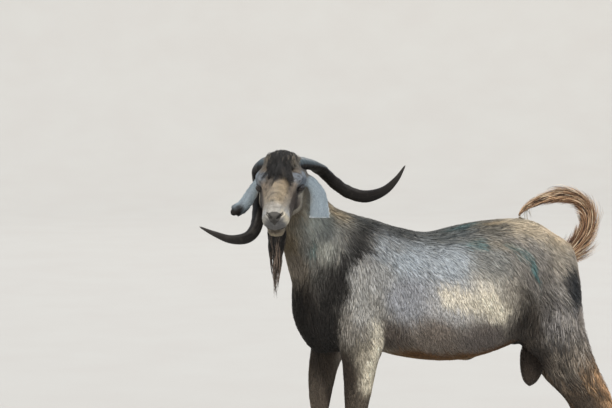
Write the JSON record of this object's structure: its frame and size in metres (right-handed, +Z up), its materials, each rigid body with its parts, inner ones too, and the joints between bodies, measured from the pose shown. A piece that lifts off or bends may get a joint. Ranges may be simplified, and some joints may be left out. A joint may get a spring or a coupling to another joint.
{
  "type": "goat",
  "caption": "Standing goat buck with long twisting horns, lop ears, beard and raised tail, head turned to its left; a still life-size model that rests on its hooves.",
  "frame": {"origin": "middle of the bounding box, on the floor under the hooves", "axes": "+X from the chest to the rump, so the body faces -X; +Y to the goat's right; +Z up"},
  "size_m": [1.216, 0.4976, 0.9663],
  "materials": {
    "coat": "long grey-brown goat hair lying flat, matt",
    "hide": "short-haired thin skin, matt",
    "eye": "wet, glossy amber eye with a level pupil",
    "horn": "black ridged horn, satin",
    "hoof": "dark hoof horn, dull"
  },
  "bodies": {
    "root": {"trunk": "coat", "neck": "coat", "head": "coat", "tail": "coat", "beard": "coat", "scrotum": "hide", "leg_fore_left": "coat", "leg_fore_right": "coat", "leg_hind_left": "coat", "leg_hind_right": "coat", "ear_left": "hide", "ear_right": "hide", "eye_left": "eye", "eye_right": "eye", "horn_left": "horn", "horn_right": "horn", "claw_fore_left_outer": "hoof", "claw_fore_left_inner": "hoof", "claw_fore_right_outer": "hoof", "claw_fore_right_inner": "hoof", "claw_hind_left_outer": "hoof", "claw_hind_left_inner": "hoof", "claw_hind_right_outer": "hoof", "claw_hind_right_inner": "hoof"}
  },
  "joints": []
}
